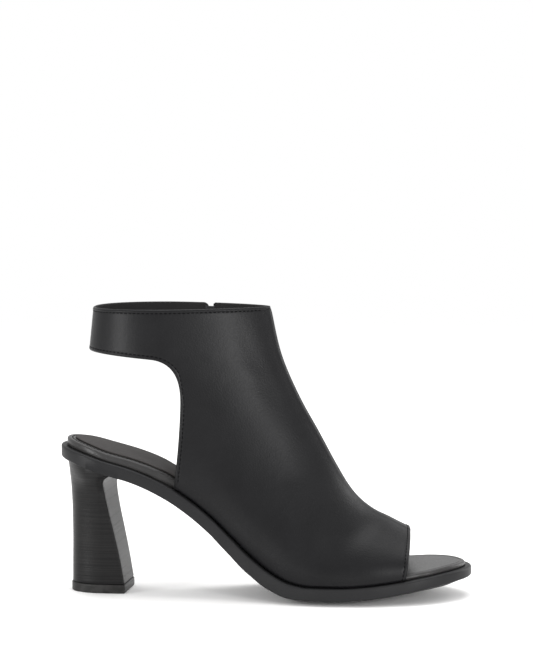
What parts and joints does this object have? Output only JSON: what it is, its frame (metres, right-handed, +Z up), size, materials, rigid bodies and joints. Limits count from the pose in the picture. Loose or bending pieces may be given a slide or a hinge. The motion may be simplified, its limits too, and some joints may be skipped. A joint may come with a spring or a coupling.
{
  "type": "open-toe heeled sandal",
  "caption": "Right open-toe sandal: high leather vamp with ankle strap, open heel, inner side zip with pull tab, slab sole and flared stacked block heel.",
  "frame": {"origin": "on the floor, at the centre of the heel's tread", "axes": "+X along the shoe to the toe, +Y to the inner (medial) side, +Z up"},
  "size_m": [0.2348, 0.0818, 0.1647],
  "materials": {
    "black_leather": "smooth, soft gloss",
    "sole_edge": "satin",
    "stacked_heel": "polished stacked edge",
    "lift_rubber": "matt",
    "insole_leather": "smooth, soft gloss",
    "sock_leather": "soft gloss",
    "zip_tape_cloth": "woven, matt",
    "dark_metal": "dark plated"
  },
  "bodies": {
    "root": {"outsole": "sole_edge", "insole": "insole_leather", "sock_lining": "sock_leather", "heel": "stacked_heel", "top_lift": "lift_rubber", "upper": "black_leather", "zip_tape": "zip_tape_cloth", "zip_slider": "dark_metal"},
    "pull": {"zip_pull": "dark_metal"}
  },
  "joints": [
    {"name": "pull_hinge", "type": "hinge", "parent": "root", "child": "pull", "pos_m": [0.06205, 0.02834, 0.14982], "axis": [0.9485, -0.3165, -0.0147], "range_deg": [0, 165]}
  ]
}
